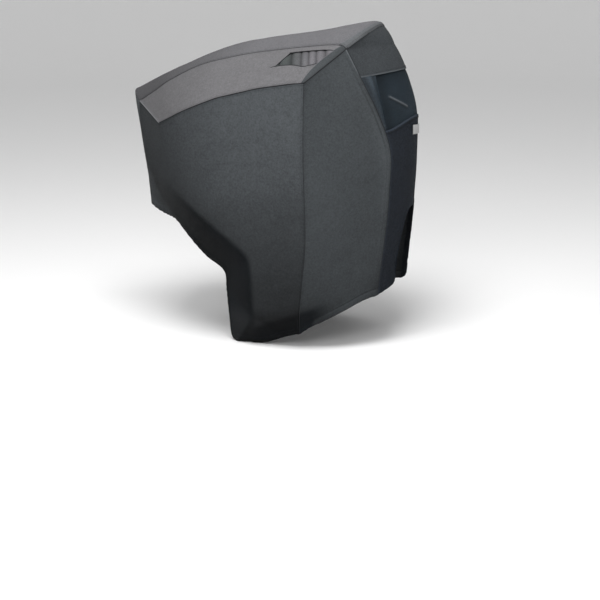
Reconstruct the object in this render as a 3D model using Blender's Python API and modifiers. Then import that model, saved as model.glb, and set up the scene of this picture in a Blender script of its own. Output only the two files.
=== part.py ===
"""Fitted cloth cover for a large outboard motor.

The cover is a hollow bag of sewn panels, open at the bottom, that drops over the motor's
cowl and hangs from the cowl's top. X runs aft, Y to starboard and Z up, in metres. The
origin is the mount, where the underside of the top panel bears on the cowl. Heights are
given as drops below a level just under the mount. Each side shape is worked out for port (-Y)
and mirrored.
"""
import math

import bmesh
import bpy
import numpy as np

COVER = "outboard_motor_cover"


def table(columns, *rows):
    """The rows of a table, as one array for each of its named columns."""
    return dict(zip(columns.split(), np.array(rows).T))


MOUNT_LEVEL = 0.0044      # height of the mount over the level that the drops are measured from

# Sheets and seams
CLOTH = 0.0020            # thickness of one sheet of the cover cloth
MESH_CLOTH = 0.0012       # thickness of the vent mesh
LABEL_CLOTH = 0.0010      # thickness of the woven label
LABEL_GAP = 0.0006        # air between the label and the curved cloth under it
FLAT_SEAM = 0.0005        # how far a panel stops short of a seam that lies flat
SOFT_SEAM = 0.0008        # the same where the two panels meet at a soft bend
FOLDED_SEAM = 0.0015      # where they meet at a marked fold
SHARP_SEAM = 0.0018       # and where the fold nears a right angle
MESH_SINK = 0.0031        # how far a vent mesh lies inside the outer face round it
MESH_LAP = 0.0060         # how far a vent mesh runs on behind the edge of its window
MESH_EDGE = 0.0010        # how far it stops short of the rolled band instead

# Plan of the wall at each drop: front centre, side seam, rear corner and rear centre
PLAN = table(
    "drop front_x seam_x half corner_x corner_half rear_x",
    (0.017, -0.578, 0.147, 0.290, 0.236, 0.167, 0.337),
    (0.109, -0.554, 0.147, 0.290, 0.288, 0.173, 0.375),
    (0.206, -0.526, 0.146, 0.294, 0.333, 0.155, 0.403),
    (0.311, -0.492, 0.147, 0.297, 0.361, 0.129, 0.405),
    (0.446, -0.457, 0.151, 0.298, 0.360, 0.126, 0.398),
    (0.586, -0.445, 0.152, 0.292, 0.347, 0.125, 0.392),
    (0.726, -0.440, 0.136, 0.280, 0.330, 0.126, 0.380),
    (0.920, -0.440, 0.104, 0.256, 0.308, 0.125, 0.355),
)
BOW_POWER = 2.7                      # exponent of the rounded box that the plan makes at the front
SIDE_TURN = math.radians(20)         # how far the rear side panel turns in at the side seam
CORNER_TURN = math.radians(46)       # and at the rear corner
REAR_TURN = math.radians(68)         # direction of the rear face as it leaves the corner
TUCK_FADE = (0.100, 0.200)           # half widths between which the creases below take hold

# Seam between shoulder and top: its course, and the top's aft bow and crown on the centre line
TOP_SEAM = table(
    "x half drop bow crown",
    (-0.469, 0.100, 0.206, -0.054, 0.029),
    (-0.415, 0.106, 0.172, -0.030, 0.033),
    (-0.358, 0.113, 0.135, -0.012, 0.032),
    (-0.251, 0.125, 0.084, 0.000, 0.031),
    (-0.146, 0.136, 0.056, 0.000, 0.036),
    (-0.045, 0.146, 0.036, 0.004, 0.036),
    (0.088, 0.158, 0.018, 0.018, 0.041),
    (0.206, 0.166, 0.006, 0.052, 0.058),
    (0.236, 0.167, 0.017, 0.054, 0.055),
)
TOP_END = len(TOP_SEAM["x"]) - 1.0   # number of the row at the top's rear edge

# Ribs of the front side panel, from its top edge to its hem, round the plan and down
SIDE_FRONT = table(
    "top_round top_drop hem_round hem_drop",
    (0.150, 0.206, 0.150, 0.530),
    (0.280, 0.221, 0.270, 0.543),
    (0.410, 0.237, 0.385, 0.554),
    (0.537, 0.252, 0.480, 0.559),
    (0.600, 0.234, 0.546, 0.594),
    (0.660, 0.214, 0.610, 0.634),
    (0.720, 0.194, 0.672, 0.670),
    (0.770, 0.177, 0.755, 0.705),
    (0.810, 0.163, 0.766, 0.768),
    (0.850, 0.152, 0.782, 0.838),
    (0.885, 0.142, 0.804, 0.916),
    (0.916, 0.132, 0.865, 0.922),
    (0.958, 0.121, 0.925, 0.920),
    (1.000, 0.109, 1.000, 0.880),
)
SHOULDER_CORNER = 3                  # rib at the shoulder's lower front corner

# Hem of the rear side panel, round the plan from the side seam to the rear corner
SIDE_REAR = table(
    "hem_round hem_drop",
    (1.000, 0.880), (1.125, 0.857), (1.250, 0.842), (1.375, 0.826),
    (1.500, 0.811), (1.625, 0.796), (1.750, 0.781), (1.875, 0.770), (2.000, 0.763),
)

# Half of the lower rear panel, from its top edge to its hem and up the edge of the arch
REAR_LOWER = table(
    "top_round hem_round hem_drop",
    (2.000, 2.000, 0.763),
    (2.120, 2.250, 0.752),
    (2.240, 2.500, 0.732),
    (2.360, 2.480, 0.681),
    (2.480, 2.505, 0.626),
    (2.600, 2.568, 0.576),
    (2.720, 2.670, 0.532),
    (2.860, 2.820, 0.507),
    (3.000, 3.000, 0.500),
)
FRONT_RISE = 0.006                   # how far the front panel's hem rises on the centre line

# Drops at which the panels' rows meet the rear corner, and the rows where the flap over the
# vent ends and where the vent ends. These two seams rise towards the centre line.
CORNER_DROPS = np.array((0.017, 0.044, 0.072, 0.099, 0.151, 0.203, 0.256, 0.340, 0.425, 0.510,
                         0.595, 0.680, 0.763))
FLAP_ROW, FLAP_RISE = 3, 0.012
VENT_ROW, VENT_RISE = 6, 0.035
GUSSET_ROUND = (2.31, 2.08)          # inner edge of the gusset, at its top and at its foot
GUSSET_LAP = 0.05                    # how much of the way round the vent mesh runs behind it

# Soft creases that turn the lower front and the bottom of the front side panel under
CREASE_START = (-0.264, -0.492)      # x and z where the slanting crease leaves the hem
CREASE_KNEE = (-0.036, -0.643)       # x and z where it turns straight down
FOOT_CREASE = (-0.030, -0.834)       # x and z of the front end of the bottom crease
FOOT_SLOPE = 0.236                   # rise of the bottom crease towards the rear
FOOT_FADE = (0.150, 0.250)           # x between which the bottom crease dies away
FRONT_TUCK = 0.55                    # inward run for each metre beyond the slanting crease
FOOT_TUCK = 0.45                     # the same below the bottom crease
CREASE_ROUND = 0.024                 # softness of the creases

# Shoulder: its ribs run from a row number of the top seam to a place round the wall's top edge
SHOULDER = table(
    "seam_row round",
    (0.00, 0.537), (1.20, 0.600), (2.20, 0.660), (3.00, 0.720), (3.80, 0.770), (4.50, 0.810),
    (5.00, 0.850), (5.45, 0.885), (5.95, 0.916), (6.33, 0.941), (6.67, 0.966), (7.00, 0.990),
    (8.00, 1.000),
)
SHOULDER_ROWS = np.array((0.0, 0.15, 0.325, 0.50, 0.75, 1.0))   # from the top seam downwards
SHOULDER_FULLNESS = 0.006            # how far the shoulder bellies out between its seams
BAND_BOW = 0.012                     # how far its rolled rear band widens half way down
WINDOW = (1, 3, 8, 11)               # rows and ribs of the shoulder that its vent window spans
PLEATS = 5                           # gathers of the shoulder's vent mesh
PLEAT_DEPTH = 0.003

# Blank label on the rear
LABEL_SIZE = (0.075, 0.028)
LABEL_CORNER = (-0.034, -0.250)      # y and z of its port upper corner
LABEL_TILT = 0.06                    # drop of its top edge for each metre along it

CHARCOAL = (0.075, 0.083, 0.088, 1.0)
LIGHT_GREY = (0.210, 0.205, 0.215, 1.0)
NAVY = (0.020, 0.027, 0.036, 1.0)
WHITE = (0.800, 0.800, 0.800, 1.0)


def through(at, knots, values):
    """A smooth curve through the values at the knots, read at the given places."""
    at = np.asarray(at, float)
    slopes = np.gradient(values, knots)
    i = np.clip(np.searchsorted(knots, at) - 1, 0, len(knots) - 2)
    step = knots[i + 1] - knots[i]
    t = np.clip((at - knots[i]) / step, 0.0, 1.0)
    rise = values[i + 1] - values[i]
    start, end = slopes[i] * step, slopes[i + 1] * step
    return values[i] + t * (start + t * (3 * rise - 2 * start - end + t * (start + end - 2 * rise)))


def sweep(t, start, start_turn, end, end_turn):
    """A plan curve from start to end that leaves and arrives at the given turns from +X."""
    reach = np.hypot(end[0] - start[0], end[1] - start[1])
    out = []
    for axis, lead in ((0, (math.cos(start_turn), math.cos(end_turn))),
                       (1, (-math.sin(start_turn), -math.sin(end_turn)))):
        a, b = start[axis], end[axis]
        m, n = reach * lead[0], reach * lead[1]
        out.append(a + t * (m + t * (3 * (b - a) - 2 * m - n + t * (m + n - 2 * (b - a)))))
    return out


def beyond(distance):
    """A distance past a crease, eased to nothing before it."""
    return 0.5 * (distance + np.sqrt(distance ** 2 + CREASE_ROUND ** 2))


def tuck(x, z):
    """How far the creases of the front side panel turn the cloth in at x and z."""
    run, fall = CREASE_KNEE[0] - CREASE_START[0], CREASE_START[1] - CREASE_KNEE[1]
    length = math.hypot(run, fall)
    under = -((x - CREASE_START[0]) * fall + (z - CREASE_START[1]) * run) / length
    ahead = CREASE_KNEE[0] - x
    both = 0.5 * (under + ahead - np.sqrt((under - ahead) ** 2 + CREASE_ROUND ** 2))
    foot = FOOT_CREASE[1] + FOOT_SLOPE * (x - FOOT_CREASE[0]) - z
    fade = np.clip((FOOT_FADE[1] - x) / (FOOT_FADE[1] - FOOT_FADE[0]), 0.0, 1.0)
    front, below = FRONT_TUCK * beyond(both), FOOT_TUCK * beyond(foot) * fade
    return np.maximum(front, below)


def wall(around, drop):
    """The wall's outer face on the port side. Around is 0 at the front centre, 1 at the side
    seam, 2 at the rear corner and 3 at the rear centre."""
    around, drop = np.broadcast_arrays(np.asarray(around, float), np.asarray(drop, float))
    front_x, seam_x, half, corner_x, corner_half, rear_x = (
        through(drop, PLAN["drop"], PLAN[name])
        for name in ("front_x", "seam_x", "half", "corner_x", "corner_half", "rear_x"))
    angle = np.clip(around, 0, 1) * math.pi / 2
    bow_x = seam_x - (seam_x - front_x) * np.cos(angle) ** (2 / BOW_POWER)
    bow_half = half * np.sin(angle) ** (2 / BOW_POWER)
    side_x, side_half = sweep(np.clip(around - 1, 0, 1), (seam_x, half), SIDE_TURN,
                              (corner_x, corner_half), CORNER_TURN)
    t = np.clip(around - 2, 0, 1)
    lead = corner_half / np.tan(REAR_TURN)
    full = rear_x - corner_x
    back_x = corner_x + t * (lead + t * (3 * full - 2 * lead + t * (lead - 2 * full)))
    back_half = corner_half * (1 - t)
    x = np.where(around <= 1, bow_x, np.where(around <= 2, side_x, back_x))
    half_width = np.where(around <= 1, bow_half, np.where(around <= 2, side_half, back_half))
    hold = (half_width - TUCK_FADE[0]) / (TUCK_FADE[1] - TUCK_FADE[0])
    half_width = half_width - tuck(x, -drop) * np.clip(hold, 0.0, 1.0)
    return np.stack((x, -half_width, -drop), axis=-1)


def blend(a, b, t):
    return a + (b - a) * t


def hang(top_around, top_drop, edge, hem_around, hem_drop, rows):
    """A wall panel from its top edge, a line of points, down ribs of the wall to its hem. The
    rows are fractions of the way down."""
    t = np.asarray(rows)[:, None]
    grid = wall(blend(top_around, hem_around, t), blend(top_drop, hem_drop, t))
    pull = edge - wall(top_around, top_drop)
    return grid + pull * (1 - t[..., None]) ** 3


def top_point(q, across):
    """The top's outer face, at row q and across from -1 at the port seam to 1 at starboard."""
    rows = np.arange(TOP_END + 1)
    x, half, drop, bow, crown = (through(q, rows, column) for column in TOP_SEAM.values())
    rise = 1 - across ** 2
    return np.stack((x + bow * rise, across * half, crown * rise - drop), axis=-1)


def inset(grid, top=0.0, bottom=0.0, left=0.0, right=0.0):
    """Draws the edges of a grid of points back into the panel by the given distances."""
    grid = grid.copy()
    for size, edge, inner in ((top, np.s_[0], np.s_[1]), (bottom, np.s_[-1], np.s_[-2]),
                              (left, np.s_[:, 0], np.s_[:, 1]), (right, np.s_[:, -1], np.s_[:, -2])):
        inward = grid[inner] - grid[edge]
        grid[edge] += inward * (size / np.linalg.norm(inward, axis=-1, keepdims=True))
    return grid


def sunk(grid, depth):
    """The grid moved inwards along its own normals by the depth."""
    down = np.gradient(grid, axis=0)
    along = np.gradient(grid, axis=1)
    normal = np.cross(down, along)
    normal /= np.linalg.norm(normal, axis=-1, keepdims=True)
    return grid - normal * np.asarray(depth)[..., None]


def material(name, colour):
    made = bpy.data.materials.get(name) or bpy.data.materials.new(name)
    made.use_nodes = True
    shader = made.node_tree.nodes["Principled BSDF"]
    shader.inputs["Base Color"].default_value = colour
    shader.inputs["Roughness"].default_value = 0.85
    shader.inputs["Metallic"].default_value = 0.0
    return made


def sheet(name, grid, finish, window=None, thickness=CLOTH):
    """A sheet of cloth: the grid is its outer face, rows running down and columns aft on the
    port side, and a window is a block of its cells that is left open."""
    rows, columns = grid.shape[:2]
    mesh = bpy.data.meshes.new(name)
    shape = bmesh.new()
    level = grid.reshape(-1, 3) - (0.0, 0.0, MOUNT_LEVEL)
    verts = [shape.verts.new(point) for point in level]
    for i in range(rows - 1):
        for j in range(columns - 1):
            if window and window[0] <= i < window[1] and window[2] <= j < window[3]:
                continue
            a = i * columns + j
            shape.faces.new((verts[a], verts[a + columns], verts[a + columns + 1], verts[a + 1]))
    bmesh.ops.delete(shape, geom=[v for v in shape.verts if not v.link_faces], context="VERTS")
    shape.to_mesh(mesh)
    shape.free()
    mesh.materials.append(finish)
    mesh.shade_smooth()
    mesh.set_sharp_from_angle(angle=math.radians(40))
    piece = bpy.data.objects.new(name, mesh)
    bpy.data.collections[COVER].objects.link(piece)
    solid = piece.modifiers.new("thickness", "SOLIDIFY")
    solid.thickness = thickness
    solid.offset = -1.0
    return piece


def both_sides(name, grid, finish, **more):
    """The port sheet and its mirror image to starboard."""
    sheet(f"{name}_port", grid, finish, **more)
    mirrored = grid[:, ::-1] * (1.0, -1.0, 1.0)
    if more.get("window"):
        top, bottom, left, right = more["window"]
        cells = grid.shape[1] - 1
        more["window"] = (top, bottom, cells - right, cells - left)
    sheet(f"{name}_starboard", mirrored, finish, **more)


def whole(half, centre_first):
    """A panel that crosses the centre line, from the half that lies to port of it."""
    other = half[:, ::-1] * (1.0, -1.0, 1.0)
    if centre_first:
        return np.concatenate((other[:, :-1], half), axis=1)
    return np.concatenate((half, other[:, 1:]), axis=1)


def along(line, knots, at):
    """Points on the polyline through the line's points, at the given places between knots."""
    return np.stack([np.interp(at, knots, line[:, i]) for i in range(3)], axis=-1)


def side_top_edge():
    """The front side panel's top edge: the shoulder's front edge, then its lower seam."""
    edge = wall(SIDE_FRONT["top_round"], SIDE_FRONT["top_drop"])
    share = np.linspace(0.0, 1.0, SHOULDER_CORNER + 1)[:, None]
    edge[:SHOULDER_CORNER + 1] = blend(top_point(0.0, -1.0), edge[SHOULDER_CORNER], share)
    return edge


def rear_rows(first, last):
    """Fractions of the way down a rear panel at which its rows meet the rear corner."""
    drops = CORNER_DROPS[first:last + 1]
    return (drops - drops[0]) / (drops[-1] - drops[0])


def rear_drop(around, row, rise):
    """The drop of a rear seam that starts on a row at the corner and rises to the centre line."""
    return CORNER_DROPS[row] - rise * np.sin((around - 2) * math.pi / 2) ** 2


def build_top(cloth):
    across = np.linspace(1.0, -1.0, 21)[:, None]
    grid = top_point(SHOULDER["seam_row"], across)
    sheet("top_panel", inset(grid, FLAT_SEAM, FLAT_SEAM, SHARP_SEAM, SOFT_SEAM), cloth)


def shoulder_grid():
    upper = top_point(SHOULDER["seam_row"], -1.0)
    lower = along(side_top_edge(), SIDE_FRONT["top_round"], SHOULDER["round"])
    grid = blend(upper, lower, SHOULDER_ROWS[:, None, None])
    belly = np.sin(math.pi * SHOULDER_ROWS)[:, None] * np.ones(len(upper))
    belly[:, [0, -1]] = 0.0
    grid[:, -2, 0] -= BAND_BOW * belly[:, -2]
    return sunk(grid, -SHOULDER_FULLNESS * belly)


def build_shoulders(cloth, mesh_cloth):
    grid = shoulder_grid()
    both_sides("shoulder", inset(grid, FLAT_SEAM, FOLDED_SEAM, FOLDED_SEAM, SHARP_SEAM), cloth,
               window=WINDOW)
    top, bottom, left, right = WINDOW
    rows = np.linspace(0.0, 1.0, 4)
    ribs = np.linspace(0.0, 1.0, 4 * PLEATS + 1)
    # the window's corners, run on behind its edges
    down = np.interp(rows, (0.0, 1.0), (SHOULDER_ROWS[top], SHOULDER_ROWS[bottom]))
    place = np.interp(ribs, (0.0, 1.0), (left, right))
    knots = np.arange(grid.shape[1], dtype=float)
    lines = np.stack([along(line, knots, place) for line in grid])
    patch = np.stack([
        np.stack([np.interp(down, SHOULDER_ROWS, lines[:, j, k]) for k in range(3)], axis=-1)
        for j in range(len(ribs))], axis=1)
    pleat = PLEAT_DEPTH * np.sin(math.pi * PLEATS * ribs) ** 2
    patch = inset(patch, -MESH_LAP, -MESH_LAP, -MESH_LAP, MESH_EDGE)
    both_sides("shoulder_vent", sunk(patch, MESH_SINK + pleat + 0 * rows[:, None]), mesh_cloth,
               thickness=MESH_CLOTH)


def build_front(cloth):
    across = np.linspace(0.0, 1.0, 6)
    spread = across ** (BOW_POWER / 2)
    edge = top_point(0.0, -across)
    hem = SIDE_FRONT["hem_drop"][0] - FRONT_RISE * (1 - across ** 2)
    half = hang(SIDE_FRONT["top_round"][0] * spread, -edge[:, 2], edge,
                SIDE_FRONT["hem_round"][0] * spread, hem, rear_rows(0, len(CORNER_DROPS) - 1))
    sheet("front_panel", inset(whole(half, True), SHARP_SEAM, 0.0, SOFT_SEAM, SOFT_SEAM), cloth)


def build_sides(cloth):
    rows = rear_rows(0, len(CORNER_DROPS) - 1)
    front = hang(SIDE_FRONT["top_round"], SIDE_FRONT["top_drop"], side_top_edge(),
                 SIDE_FRONT["hem_round"], SIDE_FRONT["hem_drop"], rows)
    both_sides("side_front", inset(front, FOLDED_SEAM, 0.0, SOFT_SEAM, FOLDED_SEAM), cloth)
    share = np.linspace(0.0, 1.0, len(SIDE_REAR["hem_round"]))
    edge = blend(side_top_edge()[-1], top_point(TOP_END, -1.0), share[:, None])
    rear = hang(1 + share, -edge[:, 2], edge, SIDE_REAR["hem_round"], SIDE_REAR["hem_drop"], rows)
    both_sides("side_rear", inset(rear, SHARP_SEAM, 0.0, SOFT_SEAM, SOFT_SEAM), cloth)


def build_rear(cloth, mesh_cloth):
    across = np.linspace(-1.0, 0.0, 11)
    around = 3 + across
    edge = top_point(TOP_END, across)
    flap = rear_drop(around, FLAP_ROW, FLAP_RISE)
    upper = hang(around, -edge[:, 2], edge, around, flap, rear_rows(0, FLAP_ROW))
    sheet("rear_upper_panel", inset(whole(upper, False), FOLDED_SEAM, FLAT_SEAM, SOFT_SEAM,
                                    SOFT_SEAM), cloth)
    down = rear_rows(FLAP_ROW, VENT_ROW)[:, None]
    inner = blend(GUSSET_ROUND[0], GUSSET_ROUND[1], down)
    gusset_round = blend(2.0, inner, np.array((0.0, 0.5, 1.0)))
    gusset_drop = blend(rear_drop(gusset_round, FLAP_ROW, FLAP_RISE),
                        rear_drop(gusset_round, VENT_ROW, VENT_RISE), down)
    both_sides("rear_gusset", inset(wall(gusset_round, gusset_drop), FLAT_SEAM, FLAT_SEAM,
                                    SOFT_SEAM, 0.0), cloth)
    vent_round = blend(inner - GUSSET_LAP, 3.0, across + 1)
    vent_drop = blend(rear_drop(vent_round, FLAP_ROW, FLAP_RISE) - MESH_LAP,
                      rear_drop(vent_round, VENT_ROW, VENT_RISE) + MESH_LAP, down)
    vent = sunk(whole(wall(vent_round, vent_drop), False), MESH_SINK)
    sheet("rear_vent_mesh", vent, mesh_cloth, thickness=MESH_CLOTH)
    top_round, hem_round, hem_drop = REAR_LOWER.values()
    foot = rear_drop(top_round, VENT_ROW, VENT_RISE)
    lower = hang(top_round, foot, wall(top_round, foot), hem_round, hem_drop,
                 rear_rows(VENT_ROW, len(CORNER_DROPS) - 1))
    sheet("rear_lower_panel", inset(whole(lower, False), FLAT_SEAM, 0.0, SOFT_SEAM,
                                    SOFT_SEAM), cloth)


def build_label(cloth):
    width, height = LABEL_SIZE
    y = LABEL_CORNER[0] + np.linspace(0.0, width, 7)
    down = np.linspace(0.0, height, 3)[:, None]
    z = LABEL_CORNER[1] - down - LABEL_TILT * (y - y[0])
    corner_half = through(-z, PLAN["drop"], PLAN["corner_half"])
    port = wall(3 - np.abs(y) / corner_half, -z)
    grid = port * (1.0, 0.0, 1.0) + np.broadcast_to(y, z.shape)[..., None] * (0.0, 1.0, 0.0)
    sheet("label", sunk(grid, -(LABEL_GAP + LABEL_CLOTH) * np.ones(z.shape)), cloth,
          thickness=LABEL_CLOTH)


def build():
    for old in list(bpy.data.objects):
        bpy.data.objects.remove(old, do_unlink=True)
    collection = bpy.data.collections.get(COVER) or bpy.data.collections.new(COVER)
    if collection.name not in bpy.context.scene.collection.children:
        bpy.context.scene.collection.children.link(collection)
    charcoal = material("charcoal_cloth", CHARCOAL)
    light_grey = material("light_grey_cloth", LIGHT_GREY)
    navy = material("vent_mesh", NAVY)
    build_top(charcoal)
    build_shoulders(light_grey, navy)
    build_front(charcoal)
    build_sides(charcoal)
    build_rear(charcoal, navy)
    build_label(material("label_cloth", WHITE))


build()
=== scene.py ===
import math

import bpy
import numpy as np
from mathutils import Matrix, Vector


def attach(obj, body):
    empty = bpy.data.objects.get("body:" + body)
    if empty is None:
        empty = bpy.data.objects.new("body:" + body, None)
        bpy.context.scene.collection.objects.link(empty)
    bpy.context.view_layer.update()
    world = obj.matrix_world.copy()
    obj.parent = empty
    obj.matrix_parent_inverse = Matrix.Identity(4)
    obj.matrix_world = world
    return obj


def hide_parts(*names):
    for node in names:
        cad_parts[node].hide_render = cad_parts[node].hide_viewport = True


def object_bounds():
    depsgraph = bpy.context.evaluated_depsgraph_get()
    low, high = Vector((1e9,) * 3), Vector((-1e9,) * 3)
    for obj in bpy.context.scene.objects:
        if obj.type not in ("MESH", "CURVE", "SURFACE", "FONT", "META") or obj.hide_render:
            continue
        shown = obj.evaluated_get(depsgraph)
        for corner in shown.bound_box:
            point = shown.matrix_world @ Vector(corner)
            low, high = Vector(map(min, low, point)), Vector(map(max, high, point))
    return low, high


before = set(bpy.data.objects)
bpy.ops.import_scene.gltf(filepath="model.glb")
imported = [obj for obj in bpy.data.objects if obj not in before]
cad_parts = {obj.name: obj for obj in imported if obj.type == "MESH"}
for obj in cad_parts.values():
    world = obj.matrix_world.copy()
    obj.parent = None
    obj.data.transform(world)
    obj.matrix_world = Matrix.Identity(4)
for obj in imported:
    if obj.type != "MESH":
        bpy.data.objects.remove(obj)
cad_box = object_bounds()

# ---------------------------------------------------------------------------------------------
# Camera, floor and light. The cover is shown as it hangs, on a pale studio floor that runs up
# into the backdrop, under a broad soft light from above and a smaller one from port.

AIM, AZIMUTH, ELEVATION, DISTANCE = (0.030, 0.0, -0.8364), 20, 14, 5.0
VIEW_ANGLE, WORLD_LIGHT = 21.70, 0.52
FLOOR_RADIUS, BEND_RADIUS, BACKDROP_TOP = 7.5, 3.5, 6.0
FLOOR_LEVEL = cad_box[0][2] - 0.003


def placed(name, data):
    """A new object in the scene that shows the given mesh, light or camera."""
    made = bpy.data.objects.new(name, data)
    bpy.context.scene.collection.objects.link(made)
    return made


def aimed(name, data, azimuth, elevation, distance, aim):
    """An object that faces the aim, from the given degrees aft of port and up."""
    a, e = math.radians(azimuth), math.radians(elevation)
    away = Vector((math.sin(a) * math.cos(e), -math.cos(a) * math.cos(e), math.sin(e)))
    made = placed(name, data)
    made.location = Vector(aim) + distance * away
    made.rotation_euler = away.to_track_quat("Z", "Y").to_euler()
    return made


def ring_cells(rings, sides):
    """The four-cornered faces between rings of points, each joined to the ring before it."""
    index = np.arange(rings * sides).reshape(rings, sides)
    onward = np.roll(index, -1, axis=1)
    return np.stack((index[:-1], onward[:-1], onward[1:], index[1:]), axis=-1).reshape(-1, 4)


def smooth_piece(name, points, faces, finish):
    """An object of the given corners and faces, shaded smoothly, in one material."""
    mesh = bpy.data.meshes.new(name)
    mesh.from_pydata(points.tolist(), [], faces)
    mesh.shade_smooth()
    mesh.materials.append(finish)
    return placed(name, mesh)


camera = aimed("camera", bpy.data.cameras.new("camera"), AZIMUTH, ELEVATION, DISTANCE, AIM)
camera.data.angle = math.radians(VIEW_ANGLE)
bpy.context.scene.camera = camera
bpy.context.scene.view_settings.view_transform = "Standard"
for name, azimuth, elevation, distance, size, power, height in (
        ("sky", 10, 62, 3.3, 1.9, 132, -0.15), ("key", 8, 24, 4.4, 1.5, 54, -0.40)):
    lamp = bpy.data.lights.new(name, "AREA")
    lamp.shape, lamp.size, lamp.energy = "SQUARE", size, power
    aimed(name, lamp, azimuth, elevation, distance, (0.0, 0.0, height))
world = bpy.data.worlds.new("studio")
bpy.context.scene.world = world
world.use_nodes = True
backdrop = world.node_tree.nodes["Background"].inputs
backdrop["Color"].default_value = (1.0, 1.0, 1.0, 1.0)
backdrop["Strength"].default_value = WORLD_LIGHT

turns = np.linspace(0.0, 2 * math.pi, 65)[:-1]
bend = np.linspace(0.0, math.pi / 2, 17)
radius = np.concatenate(((0.5, 3.0, 6.5), FLOOR_RADIUS + BEND_RADIUS * np.sin(bend),
                         (FLOOR_RADIUS + BEND_RADIUS,)))[:, None]
rise = np.concatenate(((0.0, 0.0, 0.0), BEND_RADIUS * (1 - np.cos(bend)),
                       (BACKDROP_TOP,)))[:, None]
bowl = np.stack(np.broadcast_arrays(radius * np.cos(turns), radius * np.sin(turns),
                                    FLOOR_LEVEL + rise), axis=-1).reshape(-1, 3)
floor_cells = ring_cells(len(radius), len(turns))[:, ::-1].tolist()
floor_finish = bpy.data.materials.new("studio_floor")
floor_finish.use_nodes = True
floor_shader = floor_finish.node_tree.nodes["Principled BSDF"].inputs
floor_shader["Base Color"].default_value = (0.90, 0.90, 0.90, 1.0)
floor_shader["Roughness"].default_value = 0.9
smooth_piece("studio_floor", bowl, [list(range(len(turns)))] + floor_cells, floor_finish)

# ---------------------------------------------------------------------------------------------
# Front side panels. The big forward panel of each side, of coarse woven polyester in charcoal,
# is drawn over the cowl and ends in a folded hem. One crease slants down it to the forward leg
# and another runs along its foot.

MOUNT_LEVEL = 0.0044                 # how far under the mount the level of no drop lies
BOW_POWER = 2.7
SIDE_TURN, CORNER_TURN, REAR_TURN = math.radians(20), math.radians(46), math.radians(68)
TUCK_FADE = (0.100, 0.200)           # half widths between which the creases take hold
CREASE_START, CREASE_KNEE = (-0.264, -0.492), (-0.036, -0.643)
FOOT_CREASE, FOOT_SLOPE, FOOT_FADE = (-0.030, -0.834), 0.236, (0.250, 0.150)
FRONT_TUCK, FOOT_TUCK, CREASE_ROUND = 0.55, 0.45, 0.024
CLOTH, SEAM_INSET, SEWN_REACH = 0.0018, 0.0004, 0.006
SLACK_LONG, SLACK_SHORT = 0.23, 0.071
UNDERSIDE_SHADE, UNDERSIDE_SLOPE = 0.55, 0.42


def table(columns, *rows):
    """The rows of a table, as one array for each of its named columns."""
    return dict(zip(columns.split(), np.array(rows).T))


PLAN = table(
    "drop front_x seam_x half corner_x corner_half rear_x",
    (0.017, -0.578, 0.147, 0.290, 0.236, 0.167, 0.337),
    (0.109, -0.554, 0.147, 0.290, 0.288, 0.173, 0.375),
    (0.206, -0.526, 0.146, 0.294, 0.333, 0.155, 0.403),
    (0.311, -0.492, 0.147, 0.297, 0.361, 0.129, 0.405),
    (0.446, -0.457, 0.151, 0.298, 0.360, 0.126, 0.398),
    (0.586, -0.445, 0.152, 0.292, 0.347, 0.125, 0.392),
    (0.726, -0.440, 0.136, 0.280, 0.330, 0.126, 0.380),
    (0.920, -0.440, 0.104, 0.256, 0.308, 0.125, 0.355),
)
TOP_SEAM = table(
    "x half drop bow crown",
    (-0.469, 0.100, 0.206, -0.054, 0.029),
    (-0.415, 0.106, 0.172, -0.030, 0.033),
    (-0.358, 0.113, 0.135, -0.012, 0.032),
    (-0.251, 0.125, 0.084, 0.000, 0.031),
    (-0.146, 0.136, 0.056, 0.000, 0.036),
    (-0.045, 0.146, 0.036, 0.004, 0.036),
    (0.088, 0.158, 0.018, 0.018, 0.041),
    (0.206, 0.166, 0.006, 0.052, 0.058),
    (0.236, 0.167, 0.017, 0.054, 0.055),
)
SIDE_FRONT = table(
    "top_round top_drop hem_round hem_drop",
    (0.150, 0.206, 0.150, 0.530),
    (0.280, 0.221, 0.270, 0.543),
    (0.410, 0.237, 0.385, 0.554),
    (0.537, 0.252, 0.480, 0.559),
    (0.600, 0.234, 0.546, 0.594),
    (0.660, 0.214, 0.610, 0.634),
    (0.720, 0.194, 0.672, 0.670),
    (0.770, 0.177, 0.755, 0.705),
    (0.810, 0.163, 0.766, 0.768),
    (0.850, 0.152, 0.782, 0.838),
    (0.885, 0.142, 0.804, 0.916),
    (0.916, 0.132, 0.865, 0.922),
    (0.958, 0.121, 0.925, 0.920),
    (1.000, 0.109, 1.000, 0.880),
)
SHOULDER_CORNER = 3


def ramp(value, start, end):
    """Nothing up to the start, then evenly up to one at the end, which may be the lower."""
    return np.clip((value - start) / (end - start), 0, 1)


def eased(t, a, b, leaving, arriving):
    """A cubic from a to b over t, with the given slopes where it leaves and arrives."""
    rise = b - a
    bend = leaving + arriving - 2 * rise
    return a + t * (leaving + t * (rise - leaving - bend + t * bend))


def through(at, knots, values):
    """A smooth curve through the values at the knots, read at the given places."""
    at = np.asarray(at, float)
    slopes = np.gradient(values, knots)
    i = np.clip(np.searchsorted(knots, at) - 1, 0, len(knots) - 2)
    step = knots[i + 1] - knots[i]
    t = np.clip((at - knots[i]) / step, 0.0, 1.0)
    return eased(t, values[i], values[i + 1], slopes[i] * step, slopes[i + 1] * step)


def column(of, name, at):
    """A table's column at fractional row numbers."""
    return through(at, np.arange(len(of[name]), dtype=float), of[name])


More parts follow.
